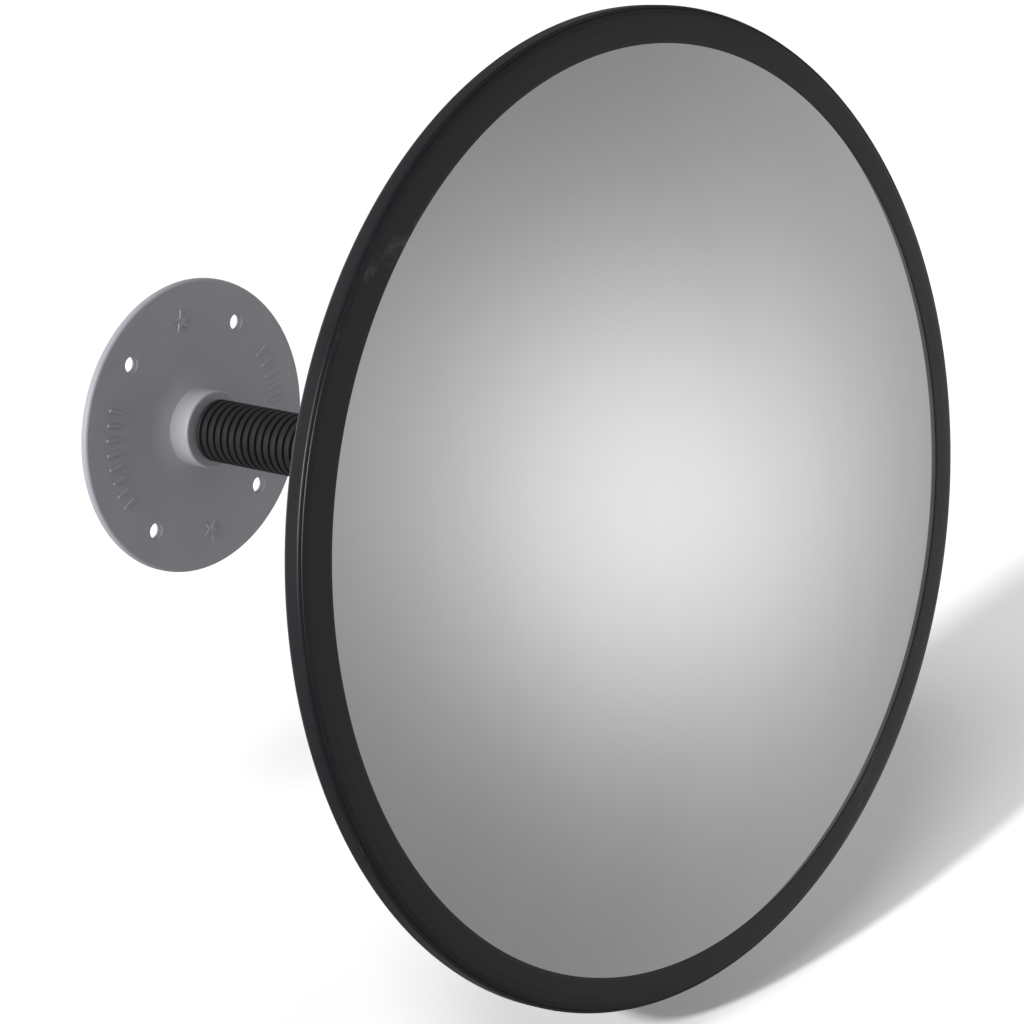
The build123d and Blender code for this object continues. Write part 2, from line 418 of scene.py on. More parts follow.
def buildDust():
    # thin dust that settles on faces that look up
    tree, groupIn, groupOut = newMask("settledDust", [("Amount", 0.3), ("Speck Size", 0.8)], ["Mask"])
    normal = put(tree, "ShaderNodeNewGeometry").outputs["Normal"]
    split = put(tree, "ShaderNodeSeparateXYZ")
    tree.links.new(normal, split.inputs[0])
    upward = spread(tree, split.outputs["Z"], 0.1, 0.95)
    scale = calc(tree, "DIVIDE", 1000.0, groupIn.outputs["Speck Size"])
    specks = spread(tree, noise(tree, scale, 5.0, 0.7), 0.42, 0.75)
    cloud = spread(tree, noise(tree, 40.0, 3.0), 0.35, 0.7, 0.35, 1.0)
    mask = calc(tree, "MULTIPLY", calc(tree, "MULTIPLY", upward, specks), cloud)
    mask = calc(tree, "MULTIPLY", mask, groupIn.outputs["Amount"], clamp=True)
    tree.links.new(mask, groupOut.inputs["Mask"])
    return tree


mouldedGrain = buildGrain()
edgeRub = buildWear()
settledDust = buildDust()


def useGroup(tree, group, **values):
    node = put(tree, "ShaderNodeGroup", node_tree=group)
    for key, value in values.items():
        label = "".join(" " + c if c.isupper() else c for c in key)
        node.inputs[label[0].upper() + label[1:]].default_value = value
    return node


def mixColour(tree, factor, first, second):
    node = put(tree, "ShaderNodeMix", data_type="RGBA")
    feed(tree, node.inputs["Factor"], factor)
    for socket, value in ((node.inputs[6], first), (node.inputs[7], second)):
        feed(tree, socket, (*value, 1.0) if isinstance(value, tuple) else value)
    return node.outputs[2]


def newMaterial(name):
    material = bpy.data.materials.new(name)
    material.use_nodes = True
    return material, material.node_tree, material.node_tree.nodes["Principled BSDF"]


def grainBump(tree, shader, grain, strength):
    bump = put(tree, "ShaderNodeBump")
    bump.inputs["Strength"].default_value = strength
    bump.inputs["Distance"].default_value = 0.1 * mm
    tree.links.new(grain.outputs["Height"], bump.inputs["Height"])
    tree.links.new(bump.outputs[0], shader.inputs["Normal"])


def paintedSkin(name, look):
    # plastic or rubber skin with grain, patches, rubbed edges and dust
    material, tree, shader = newMaterial(name)
    grain = useGroup(tree, mouldedGrain, grainSize=look["grain"], patchSize=look["patch"], depth=1.0)
    wear = useGroup(tree, edgeRub, start=look["wearStart"], end=look["wearEnd"])
    dust = useGroup(tree, settledDust, amount=look["dust"])
    colour = mixColour(tree, grain.outputs["Patches"], look["colour"], look["patchColour"])
    colour = mixColour(tree, wear.outputs["Mask"], colour, look["wearColour"])
    colour = mixColour(tree, dust.outputs["Mask"], colour, look["dustColour"])
    tree.links.new(colour, shader.inputs["Base Color"])
    low, high = look["roughness"]
    rough = spread(tree, grain.outputs["Patches"], 0.0, 1.0, low, high)
    rough = calc(tree, "ADD", rough, calc(tree, "MULTIPLY", dust.outputs["Mask"], 0.3), clamp=True)
    tree.links.new(rough, shader.inputs["Roughness"])
    grainBump(tree, shader, grain, look["bump"])
    shader.inputs["Specular IOR Level"].default_value = look["specular"]
    return material


def metalSkin(name, look):
    # plated or drawn steel
    material, tree, shader = newMaterial(name)
    grain = useGroup(tree, mouldedGrain, grainSize=look["grain"], patchSize=look["patch"], depth=1.0)
    wear = useGroup(tree, edgeRub, start=0.5, end=0.6)
    colour = mixColour(tree, grain.outputs["Patches"], look["colour"], look["patchColour"])
    colour = mixColour(tree, wear.outputs["Mask"], colour, look["wearColour"])
    tree.links.new(colour, shader.inputs["Base Color"])
    low, high = look["roughness"]
    rough = spread(tree, grain.outputs["Patches"], 0.0, 1.0, low, high)
    tree.links.new(rough, shader.inputs["Roughness"])
    grainBump(tree, shader, grain, look["bump"])
    shader.inputs["Metallic"].default_value = 1.0
    return material


greyPlastic = paintedSkin("greyPlastic", {
    "colour": (0.318, 0.315, 0.342), "patchColour": (0.345, 0.342, 0.37),
    "wearColour": (0.45, 0.45, 0.47), "wearStart": 0.55, "wearEnd": 0.66,
    "dust": 0.12, "dustColour": (0.6, 0.6, 0.6),
    "grain": 0.5, "patch": 18.0, "roughness": (0.42, 0.52), "bump": 0.12, "specular": 0.5,
})
neckPlastic = paintedSkin("neckPlastic", {
    "colour": (0.012, 0.012, 0.0135), "patchColour": (0.016, 0.016, 0.018),
    "wearColour": (0.035, 0.035, 0.037), "wearStart": 0.54, "wearEnd": 0.64,
    "dust": 0.06, "dustColour": (0.2, 0.2, 0.2),
    "grain": 0.3, "patch": 9.0, "roughness": (0.5, 0.62), "bump": 0.15, "specular": 0.3,
})
trimRubber = paintedSkin("trimRubber", {
    "colour": (0.0072, 0.0069, 0.0092), "patchColour": (0.010, 0.0097, 0.0125),
    "wearColour": (0.04, 0.04, 0.043), "wearStart": 0.55, "wearEnd": 0.68,
    "dust": 0.03, "dustColour": (0.2, 0.2, 0.2),
    "grain": 0.4, "patch": 30.0, "roughness": (0.32, 0.40), "bump": 0.1, "specular": 0.3,
})
coverPlastic = paintedSkin("coverPlastic", {
    "colour": (0.016, 0.016, 0.017), "patchColour": (0.022, 0.022, 0.023),
    "wearColour": (0.07, 0.07, 0.07), "wearStart": 0.52, "wearEnd": 0.62,
    "dust": 0.25, "dustColour": (0.3, 0.3, 0.3),
    "grain": 0.9, "patch": 40.0, "roughness": (0.42, 0.55), "bump": 0.5, "specular": 0.5,
})
zincSteel = metalSkin("zincSteel", {
    "colour": (0.55, 0.56, 0.58), "patchColour": (0.68, 0.68, 0.68), "wearColour": (0.8, 0.8, 0.8),
    "grain": 0.25, "patch": 2.5, "roughness": (0.25, 0.42), "bump": 0.15,
})
springSteel = metalSkin("springSteel", {
    "colour": (0.30, 0.30, 0.31), "patchColour": (0.38, 0.37, 0.36), "wearColour": (0.6, 0.6, 0.6),
    "grain": 0.4, "patch": 4.0, "roughness": (0.3, 0.45), "bump": 0.1,
})


def silveredAcrylic():
    # bright silvering seen through polished acrylic, with faint wipe marks and specks of dust
    material, tree, shader = newMaterial("silveredAcrylic")
    place = put(tree, "ShaderNodeTexCoord").outputs["Object"]
    stretch = put(tree, "ShaderNodeMapping")
    stretch.inputs["Scale"].default_value = (1.0, 1.0, 0.25)
    stretch.inputs["Rotation"].default_value = (0.3, 0.5, 0.0)
    tree.links.new(place, stretch.inputs[0])
    wipes = spread(tree, noise(tree, 30.0, 5.0, 0.6, stretch.outputs[0]), 0.45, 0.75)
    dust = useGroup(tree, settledDust, amount=0.12, speckSize=1.2)
    colour = mixColour(tree, wipes, (0.93, 0.93, 0.93), (0.905, 0.905, 0.905))
    colour = mixColour(tree, dust.outputs["Mask"], colour, (0.7, 0.7, 0.7))
    tree.links.new(colour, shader.inputs["Base Color"])
    rough = spread(tree, wipes, 0.0, 1.0, 0.012, 0.04)
    rough = calc(tree, "ADD", rough, calc(tree, "MULTIPLY", dust.outputs["Mask"], 0.3))
    tree.links.new(rough, shader.inputs["Roughness"])
    shader.inputs["Metallic"].default_value = 1.0
    return material


mirrorSilver = silveredAcrylic()
print("materials made")

# moulded plates
plateSizes = {
    "radius": 49.0, "thick": 2.6, "edgeRound": 1.1,
    "bossRadius": 12.95, "bossFace": 11.5, "mouthRound": 0.8,
    "footReach": 8.0, "footRise": 1.2, "footPower": 2.0, "footRound": 0.4,
    "socket": 4.5, "socketRadius": 8.4,
    "recessRadius": 11.3, "recessDepth": 5.0, "studHole": 5.15,
    "holeRing": 37.5, "holeRadius": 2.7, "holeBreak": 0.15, "spread": 39.8,
    "turn": -9.4,  # as fixed, clockwise from upright
    "markRise": 0.4, "markSink": 0.3, "markDraft": 0.25,
    "starPoints": 5, "starRadius": 4.0, "starWaist": 0.4, "starInset": 1.0,
    "barWidth": 1.3, "barLength": 6.0, "barRound": 0.5,
    "barCount": 8, "barStep": 7.2, "barInset": 0.5,
}


def plateSolid(name, sizes):
    seat = sizes["bossFace"] - sizes["socket"]
    radius, thick, boss = sizes["radius"], sizes["thick"], sizes["bossRadius"]
    foot = boss + sizes["footReach"]
    rise = []
    for k in range(10):
        share = k / 10
        height = thick + sizes["footRise"] * share ** sizes["footPower"]
        rise.append((foot - sizes["footReach"] * share, height, 0))
    corners = [
        (radius, 0, 0.7),
        (radius, thick, sizes["edgeRound"]),
        *acrossFace(radius, foot, thick, 12),
        *rise,
        (boss, thick + sizes["footRise"], sizes["footRound"]),
        (boss, sizes["bossFace"], sizes["mouthRound"]),
        (sizes["socketRadius"], sizes["bossFace"], 0.3),
        (sizes["socketRadius"], seat, 0.2),
        (sizes["studHole"], seat, 0.1),
        (sizes["studHole"], sizes["recessDepth"], 0.1),
        (sizes["recessRadius"], sizes["recessDepth"], 0.4),
        (sizes["recessRadius"], 0, 0.4),
        *acrossFace(sizes["recessRadius"], radius, 0, 13),
    ]
    return makeObject(name, latheMesh(name, softened(corners, 8), Matrix.Identity(4), 256))


def holeCutter(sizes):
    # drilled shape with a small broken edge at both faces
    r, lip, top = sizes["holeRadius"], sizes["holeBreak"], sizes["thick"]
    outline = [(0, -1), (r + lip + 1, -1), (r, lip), (r, top - lip), (r + lip + 1, top + 1), (0, top + 1)]
    return makeObject("cutter", latheMesh("cutter", outline, Matrix.Identity(4), 48))


def draftedShape(name, points, rise, sink, draft):
    # raised mark with sloping sides: the outline at the foot, and shrunk by the draft at the top
    bm = bmesh.new()
    foot = [bm.verts.new((x * mm, y * mm, -sink * mm)) for x, y in points]
    line = [bm.verts.new((x * mm, y * mm, 0)) for x, y in points]
    top = []
    for x, y in points:
        inward = Vector((x, y))
        inward.length = max(inward.length - draft, 0.05)
        top.append(bm.verts.new((inward.x * mm, inward.y * mm, rise * mm)))
    count = len(points)
    for low, high in ((foot, line), (line, top)):
        for i in range(count):
            n = (i + 1) % count
            bm.faces.new((low[i], low[n], high[n], high[i]))
    bm.faces.new(top)
    bm.faces.new(list(reversed(foot)))
    return makeObject(name, meshFrom(name, bm, Matrix.Identity(4)))


def polarTool():
    # copies a shape onto a ring: two opposite groups, evenly stepped inside each group
    tree, groupIn, groupOut = newTool("ringOfCopies", [
        ("Shape", "NodeSocketObject", None),
        ("Ring Radius", "NodeSocketFloat", 0.0375),
        ("Per Group", "NodeSocketInt", 2),
        ("Step", "NodeSocketFloat", 0.1),
        ("First", "NodeSocketFloat", 0.0),
        ("Material", "NodeSocketMaterial", None),
    ])
    count = calc(tree, "MULTIPLY", groupIn.outputs["Per Group"], 2.0)
    line = put(tree, "GeometryNodeMeshLine")
    tree.links.new(count, line.inputs["Count"])
    index = put(tree, "GeometryNodeInputIndex").outputs[0]
    half = calc(tree, "FLOOR", calc(tree, "DIVIDE", index, groupIn.outputs["Per Group"]))
    within = calc(tree, "SUBTRACT", index, calc(tree, "MULTIPLY", half, groupIn.outputs["Per Group"]))
    middle = calc(tree, "MULTIPLY", calc(tree, "SUBTRACT", groupIn.outputs["Per Group"], 1.0), 0.5)
    offset = calc(tree, "MULTIPLY", calc(tree, "SUBTRACT", within, middle), groupIn.outputs["Step"])
    angle = calc(tree, "ADD", offset, groupIn.outputs["First"])
    angle = calc(tree, "ADD", angle, calc(tree, "MULTIPLY", half, math.pi))
    spot = put(tree, "ShaderNodeCombineXYZ")
    for socket, wave in zip(spot.inputs, ("SINE", "COSINE")):
        place = calc(tree, "MULTIPLY", calc(tree, wave, angle), groupIn.outputs["Ring Radius"])
        tree.links.new(place, socket)
    move = put(tree, "GeometryNodeSetPosition")
    tree.links.new(line.outputs[0], move.inputs["Geometry"])
    tree.links.new(spot.outputs[0], move.inputs["Position"])
    turn = put(tree, "ShaderNodeCombineXYZ")
    tree.links.new(calc(tree, "MULTIPLY", angle, -1.0), turn.inputs[2])
    shape = put(tree, "GeometryNodeObjectInfo", transform_space="ORIGINAL")
    tree.links.new(groupIn.outputs["Shape"], shape.inputs[0])
    copies = put(tree, "GeometryNodeInstanceOnPoints")
    tree.links.new(move.outputs[0], copies.inputs["Points"])
    tree.links.new(shape.outputs["Geometry"], copies.inputs["Instance"])
    tree.links.new(turn.outputs[0], copies.inputs["Rotation"])
    closeTool(tree, copies.outputs[0], groupIn, groupOut)
    return tree


ringOfCopies = polarTool()


def ringCopies(name, shape, radius, perGroup, step, first, material):
    mesh = runTool(ringOfCopies, {
        "Shape": shape, "Ring Radius": radius * mm, "Per Group": perGroup,
        "Step": math.radians(step), "First": math.radians(first), "Material": material,
    })
    bpy.data.objects.remove(shape)
    return makeObject(name, mesh)


def holeCopies(name, shape, sizes, material):
    return ringCopies(name, shape, sizes["holeRing"], 2, 2 * sizes["spread"], 0, material)


def buildPlate(name, sizes, place, body, node, marked):
    plate = plateSolid(name, sizes)
    holes = holeCopies("holes", holeCutter(sizes), sizes, greyPlastic)
    mesh = combined(plate, [holes], "DIFFERENCE")
    if marked:
        plate = makeObject(name, mesh)
        mark = (sizes["markRise"], sizes["markSink"], sizes["markDraft"])
        count = 2 * sizes["starPoints"]
        points = []
        for i in range(count):
            reach = sizes["starRadius"] * (1.0, sizes["starWaist"])[i % 2]
            angle = math.radians(360 * i / count)
            points.append((reach * math.sin(angle), reach * math.cos(angle)))
        star = draftedShape("star", points, *mark)
        stars = ringCopies("stars", star, sizes["holeRing"] - sizes["starInset"], 1, 0, 0, greyPlastic)
        w, h, soft = sizes["barWidth"] / 2, sizes["barLength"] / 2, sizes["barRound"]
        corners = [(w, h, soft), (-w, h, soft), (-w, -h, soft), (w, -h, soft)]
        bar = draftedShape("bar", softened(corners, 4), *mark)
        bars = ringCopies(
            "bars", bar, sizes["holeRing"] - sizes["barInset"],
            sizes["barCount"], sizes["barStep"], 90, greyPlastic,
        )
        for marks in (stars, bars):
            marks.data.transform(Matrix.Translation((0, 0, sizes["thick"] * mm)))
        mesh = combined(plate, [stars, bars], "UNION")
    mesh.transform(place)
    addPiece(name, mesh, greyPlastic, body, [node], even=True)


plateTurn = Matrix.Rotation(math.radians(-plateSizes["turn"]), 4, "Z")
buildPlate("wallPlate", plateSizes, wallFrame @ plateTurn, chain[0], "wall_plate", True)
plateSeat = headFrame @ Matrix.Translation((0, 0, bossAhead + plateSizes["bossFace"] * mm))
mirrorPlatePlace = plateSeat @ turnOver
buildPlate("mirrorPlate", plateSizes, mirrorPlatePlace, chain[-1], "mirror_plate", False)
print("plates made")


# neck
def besidePath(tree, pathSocket, along, angle, reach):
    # a point beside the path, at a share of its length and an angle round it
    path = put(tree, "GeometryNodeObjectInfo", transform_space="ORIGINAL")
    tree.links.new(pathSocket, path.inputs[0])
    sample = put(tree, "GeometryNodeSampleCurve", mode="FACTOR", use_all_curves=True)
    tree.links.new(path.outputs["Geometry"], sample.inputs["Curves"])
    tree.links.new(along, sample.inputs["Factor"])
    side = sample.outputs["Normal"]
    rise = vectorCalc(tree, "CROSS_PRODUCT", sample.outputs["Tangent"], side)
    out = vectorCalc(
        tree, "ADD",
        vectorCalc(tree, "SCALE", side, scale=calc(tree, "COSINE", angle)),
        vectorCalc(tree, "SCALE", rise, scale=calc(tree, "SINE", angle)),
    )
    out = vectorCalc(tree, "SCALE", out, scale=reach)
    return vectorCalc(tree, "ADD", sample.outputs["Position"], out)


def sleeveTool():
    # ribbed tube swept along a path, closed inside and out
    tree, groupIn, groupOut = newTool("ribbedSleeve", [
        ("Path", "NodeSocketObject", None),
        ("Ribs", "NodeSocketInt", 4),
        ("Rows Per Rib", "NodeSocketInt", 24),
        ("Columns", "NodeSocketInt", 97),
        ("Radius", "NodeSocketFloat", 0.0103),
        ("Bore", "NodeSocketFloat", 0.0075),
        ("Groove Depth", "NodeSocketFloat", 0.001),
        ("Groove Share", "NodeSocketFloat", 0.25),
        ("Crown", "NodeSocketFloat", 0.00005),
        ("End Radius", "NodeSocketFloat", 0.0083),
        ("Thin Start", "NodeSocketFloat", 0.0),
        ("Thin End", "NodeSocketFloat", 0.0),
        ("Material", "NodeSocketMaterial", None),
    ])
    value = groupIn.outputs
    lastRow = calc(tree, "MULTIPLY", value["Ribs"], value["Rows Per Rib"])
    grid = put(tree, "GeometryNodeMeshGrid")
    tree.links.new(calc(tree, "ADD", lastRow, 4.0), grid.inputs["Vertices X"])
    tree.links.new(value["Columns"], grid.inputs["Vertices Y"])
    index = put(tree, "GeometryNodeInputIndex").outputs[0]
    row = calc(tree, "FLOOR", calc(tree, "DIVIDE", calc(tree, "ADD", index, 0.5), value["Columns"]))
    column = calc(tree, "SUBTRACT", index, calc(tree, "MULTIPLY", row, value["Columns"]))
    past = calc(tree, "SUBTRACT", row, lastRow)  # 1 and 2 are the bore, 3 closes on row 0
    isBore = calc(tree, "COMPARE", past, 1.5, 0.6)
    isBack = calc(tree, "GREATER_THAN", past, 1.5)
    along = calc(tree, "MINIMUM", calc(tree, "DIVIDE", row, lastRow), 1.0)
    along = pick(tree, isBack, along, 0.0)
    phase = calc(tree, "DIVIDE", calc(tree, "ADD", row, 0.001), value["Rows Per Rib"])
    phase = calc(tree, "FRACT", phase)
    fromEdge = calc(tree, "MINIMUM", phase, calc(tree, "SUBTRACT", 1.0, phase))
    half = calc(tree, "MULTIPLY", value["Groove Share"], 0.5)
    wall = put(tree, "ShaderNodeMapRange", interpolation_type="SMOOTHSTEP")
    feed(tree, wall.inputs[0], fromEdge)
    floorShare, crestShare = 0.45, 1.3  # where a groove's wall starts and ends
    feed(tree, wall.inputs[1], calc(tree, "MULTIPLY", half, floorShare))
    feed(tree, wall.inputs[2], calc(tree, "MULTIPLY", half, crestShare))
    feed(tree, wall.inputs[3], 1.0)
    feed(tree, wall.inputs[4], 0.0)
    dip = calc(tree, "MULTIPLY", wall.outputs[0], value["Groove Depth"])
    swell = calc(tree, "SINE", calc(tree, "MULTIPLY", phase, math.pi))
    swell = calc(tree, "MULTIPLY", swell, value["Crown"])
    outer = calc(tree, "ADD", calc(tree, "SUBTRACT", value["Radius"], dip), swell)
    fromStart = calc(tree, "DIVIDE", row, value["Rows Per Rib"])  # counted in ribs
    fromEnd = calc(tree, "SUBTRACT", value["Ribs"], fromStart)
    stepLength = 0.12  # in ribs, from the thin end up to full size
    for reach, thin in ((fromStart, value["Thin Start"]), (fromEnd, value["Thin End"])):
        step = put(tree, "ShaderNodeMapRange", interpolation_type="SMOOTHSTEP")
        feed(tree, step.inputs[0], reach)
        feed(tree, step.inputs[1], calc(tree, "SUBTRACT", thin, stepLength))
        feed(tree, step.inputs[2], thin)
        stand = calc(tree, "SUBTRACT", outer, value["End Radius"])
        stand = calc(tree, "MULTIPLY", stand, step.outputs[0])
        outer = calc(tree, "ADD", stand, value["End Radius"])
    radius = pick(tree, isBore, outer, value["Bore"])
    turns = calc(tree, "DIVIDE", column, calc(tree, "SUBTRACT", value["Columns"], 1.0))
    angle = calc(tree, "MULTIPLY", turns, 2 * math.pi)
    place = besidePath(tree, value["Path"], along, angle, radius)
    move = put(tree, "GeometryNodeSetPosition")
    tree.links.new(grid.outputs[0], move.inputs["Geometry"])
    tree.links.new(place, move.inputs["Position"])
    weld = put(tree, "GeometryNodeMergeByDistance")
    weld.inputs["Distance"].default_value = 1e-6
    tree.links.new(move.outputs[0], weld.inputs["Geometry"])
    closeTool(tree, weld.outputs[0], groupIn, groupOut)
    return tree


def springTool():
    # close-wound round wire that follows the same path
    tree, groupIn, groupOut = newTool("woundSpring", [
        ("Path", "NodeSocketObject", None),
        ("Turns", "NodeSocketInt", 6),
        ("Coil Radius", "NodeSocketFloat", 0.006),
        ("Wire Radius", "NodeSocketFloat", 0.001),
        ("Material", "NodeSocketMaterial", None),
    ])
    value = groupIn.outputs
    count = calc(tree, "ADD", calc(tree, "MULTIPLY", value["Turns"], 24.0), 1.0)
    line = put(tree, "GeometryNodeMeshLine")
    tree.links.new(count, line.inputs["Count"])
    index = put(tree, "GeometryNodeInputIndex").outputs[0]
    along = calc(tree, "DIVIDE", index, calc(tree, "SUBTRACT", count, 1.0))
    angle = calc(tree, "MULTIPLY", calc(tree, "MULTIPLY", along, value["Turns"]), 2 * math.pi)
    spot = besidePath(tree, value["Path"], along, angle, value["Coil Radius"])
    move = put(tree, "GeometryNodeSetPosition")
    tree.links.new(line.outputs[0], move.inputs["Geometry"])
    tree.links.new(spot, move.inputs["Position"])
    wire = put(tree, "GeometryNodeMeshToCurve")
    tree.links.new(move.outputs[0], wire.inputs[0])
    section = put(tree, "GeometryNodeCurvePrimitiveCircle")
    section.inputs["Resolution"].default_value = 10
    tree.links.new(value["Wire Radius"], section.inputs["Radius"])
    tube = put(tree, "GeometryNodeCurveToMesh")
    tube.inputs["Fill Caps"].default_value = True
    tree.links.new(wire.outputs[0], tube.inputs["Curve"])
    tree.links.new(section.outputs[0], tube.inputs["Profile Curve"])
    closeTool(tree, tube.outputs[0], groupIn, groupOut)
    return tree


def pathThrough(points):
    # smooth path whose ends point along its first and last runs
    data = bpy.data.curves.new("path", "CURVE")
    data.dimensions = "3D"
    spline = data.splines.new("NURBS")
    spline.points.add(len(points) - 1)
    for i, point in enumerate(points):
        spline.points[i].co = (*point, 1.0)
    spline.order_u = 3
    spline.use_endpoint_u = True
    spline.resolution_u = 24
    return makeObject("path", data)


def outward(mesh):
    bm = bmesh.new()
    bm.from_mesh(mesh)
    bmesh.ops.remove_doubles(bm, verts=bm.verts, dist=1e-7)
    bmesh.ops.recalc_face_normals(bm, faces=bm.faces)
    bm.to_mesh(mesh)
    bm.free()
    return mesh


def buildNeck(sizes):
    ribbedSleeve = sleeveTool()
    woundSpring = springTool()
    middles = [neckStart - Vector((0, sizes["firstGroove"] * mm, 0))]
    for first, second in zip(bends, bends[1:]):
        middles.append((first + second) / 2)
    middles.append(neckEnd - headAxis * sizes["firstGroove"] * mm)
    thin = (sizes["endGap"] - sizes["firstGroove"]) / sizes["ribPitch"]
    for i, bend in enumerate(bends):
        path = pathThrough([middles[i], bend, middles[i + 1]])
        label = f"{i + 1:02d}"
        mesh = runTool(ribbedSleeve, {
            "Path": path, "Ribs": sizes["ribsPerLink"], "Rows Per Rib": sizes["rowsPerRib"],
            "Columns": sizes["columns"], "Radius": sizes["radius"] * mm, "Bore": sizes["bore"] * mm,
            "Groove Depth": sizes["grooveDepth"] * mm, "Groove Share": sizes["grooveShare"],
            "Crown": sizes["crown"] * mm, "End Radius": (sizes["endRadius"] + sizes["endPlay"]) * mm,
            "Thin Start": thin if i == 0 else 0.0, "Thin End": thin if i == len(bends) - 1 else 0.0,
            "Material": neckPlastic,
        })
        nodes = ["neck_sleeve_" + label]
        sleeve = addPiece("neckSleeve" + label, outward(mesh), neckPlastic, None, nodes)
        mesh = runTool(woundSpring, {
            "Path": path, "Turns": sizes["springTurns"], "Wire Radius": sizes["springWire"] * mm,
            "Coil Radius": (sizes["bore"] - sizes["springWire"] - sizes["springPlay"]) * mm,
            "Material": springSteel,
        })
        nodes = ["neck_core_" + label]
        spring = addPiece("neckSpring" + label, outward(mesh), springSteel, None, nodes)
        for piece in (sleeve, spring):
            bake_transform(piece)
        bpy.data.objects.remove(path)


def plainEnd(name, place, body, node, sizes):
    # smooth thin end of the sleeve, seated in a boss
    outer, inner, length = sizes["endRadius"], sizes["bore"], sizes["plainEnd"]
    top = sizes["firstGroove"] + sizes["endOverlap"]
    corners = [(outer, top, 0), (inner, top, 0), (inner, -length, 0.1), (outer, -length, 0.3)]
    mesh = latheMesh(name, softened(corners, 4), place, 96)
    addPiece(name, mesh, neckPlastic, body, [node])


buildNeck(neckSizes)
mirrorNeckPlace = axisFrame(neckEnd, headTilt) @ turnOver
plainEnd("neckWallEnd", axisFrame(neckStart, 0), chain[0], "neck_sleeve_01", neckSizes)
plainEnd("neckMirrorEnd", mirrorNeckPlace, chain[-1], "neck_sleeve_13", neckSizes)
print("neck made")

# threaded ends
endSizes = {
    "stud": 5.0, "studReach": 6.3, "tipLength": 0.4, "tipTaper": 0.2,
    "threadTop": -1.8, "threadPitch": 1.0, "threadDepth": 0.5, "threadPlay": 0.03,
    "flange": 7.4, "flangeThick": 1.5,
    "washerInner": 5.15, "washerOuter": 9.5, "washerThick": 1.2, "web": 2.0,
    "nutFlats": 14.0, "nutThick": 3.0,
}


def hexNutMesh(name, flats, bore, low, high, place, segments=96):
    # six flats, corners turned down at 30 degrees on both faces
    bm = bmesh.new()
    inscribed = flats / 2
    chamferStart = inscribed * 0.985
    slope = math.tan(math.radians(30))
    lip = 0.35  # broken edge of the bore
    rows = []
    for k in range(segments):
        angle = 2 * math.pi * k / segments
        within = (angle + math.pi / 6) % (math.pi / 3) - math.pi / 6
        reach = inscribed / math.cos(within)
        drop = max(reach - chamferStart, 0) * slope
        column = [
            (bore, low + lip), (bore + lip, low), (chamferStart, low), (reach, low + drop),
            (reach, high - drop), (chamferStart, high), (bore + lip, high), (bore, high - lip),
        ]
        spin = (math.cos(angle), math.sin(angle))
        rows.append([bm.verts.new((r * spin[0] * mm, r * spin[1] * mm, z * mm)) for r, z in column])
    for k, row in enumerate(rows):
        other = rows[(k + 1) % segments]
        for i in range(len(row)):
            n = (i + 1) % len(row)
            bm.faces.new((row[i], other[i], other[n], row[n]))
    return meshFrom(name, bm, place)


def studMesh(name, sizes, place, segments=64):
    # flange and stud with a real V thread, cut as a helix into the rows
    bm = bmesh.new()
    perPitch = 10
    top, bottom = sizes["threadTop"], -sizes["studReach"] + sizes["tipLength"]
    rowCount = int((top - bottom) / sizes["threadPitch"] * perPitch)
    rings = []
    flange, thick, end = sizes["flange"], sizes["flangeThick"], -sizes["studReach"]
    fixedRows = [(0, thick), (flange, thick), (flange, 0), (sizes["stud"], 0)]
    tail = [(sizes["stud"] - sizes["threadDepth"] - sizes["tipTaper"], end), (0, end)]

    def ring(radiusAt, height):
        return [
            bm.verts.new((radiusAt(k) * math.cos(2 * math.pi * k / segments) * mm,
                          radiusAt(k) * math.sin(2 * math.pi * k / segments) * mm, height * mm))
            for k in range(segments)
        ]

    def plainRing(radius, height):
        if radius == 0:
            return [bm.verts.new((0, 0, height * mm))]
        return ring(lambda k: radius, height)

    rings += [plainRing(radius, height) for radius, height in fixedRows]
    for i in range(rowCount + 1):
        height = top + (bottom - top) * i / rowCount

        def threadRadius(k, z=height):
            phase = (z / sizes["threadPitch"] + k / segments) % 1.0
            return sizes["stud"] - sizes["threadPlay"] - sizes["threadDepth"] * abs(2 * phase - 1)

        rings.append(ring(threadRadius, height))
    rings += [plainRing(radius, height) for radius, height in tail]
    joinRings(bm, rings, segments)
    return meshFrom(name, bm, place)


def washerMesh(name, inner, outer, low, high, place):
    corners = [(outer, low, 0.15), (outer, high, 0.35), (inner, high, 0.1), (inner, low, 0.1)]
    return latheMesh(name, softened(corners, 4), place, 96)


def buildEnd(side, place, body, sizes):
    prefix = side + "End"
    nodes = side + "_end_"
    mesh = studMesh("stud", sizes, place)
    addPiece(prefix + "Ferrule", mesh, zincSteel, body, [nodes + "ferrule"], 25)
    low = -sizes["web"] - sizes["washerThick"]
    mesh = washerMesh("washer", sizes["washerInner"], sizes["washerOuter"], low, -sizes["web"], place)
    addPiece(prefix + "Washer", mesh, zincSteel, body, [nodes + "washer"])
    mesh = hexNutMesh("nut", sizes["nutFlats"], sizes["stud"], low - sizes["nutThick"], low, place)
    addPiece(prefix + "Nut", mesh, zincSteel, body, [nodes + "nut"], 20)


seatHeight = (plateSizes["bossFace"] - plateSizes["socket"]) * mm
buildEnd("wall", wallFrame @ Matrix.Translation((0, 0, seatHeight)), chain[0], endSizes)
buildEnd("mirror", mirrorPlatePlace @ Matrix.Translation((0, 0, seatHeight)), chain[-1], endSizes)
print("threaded ends made")

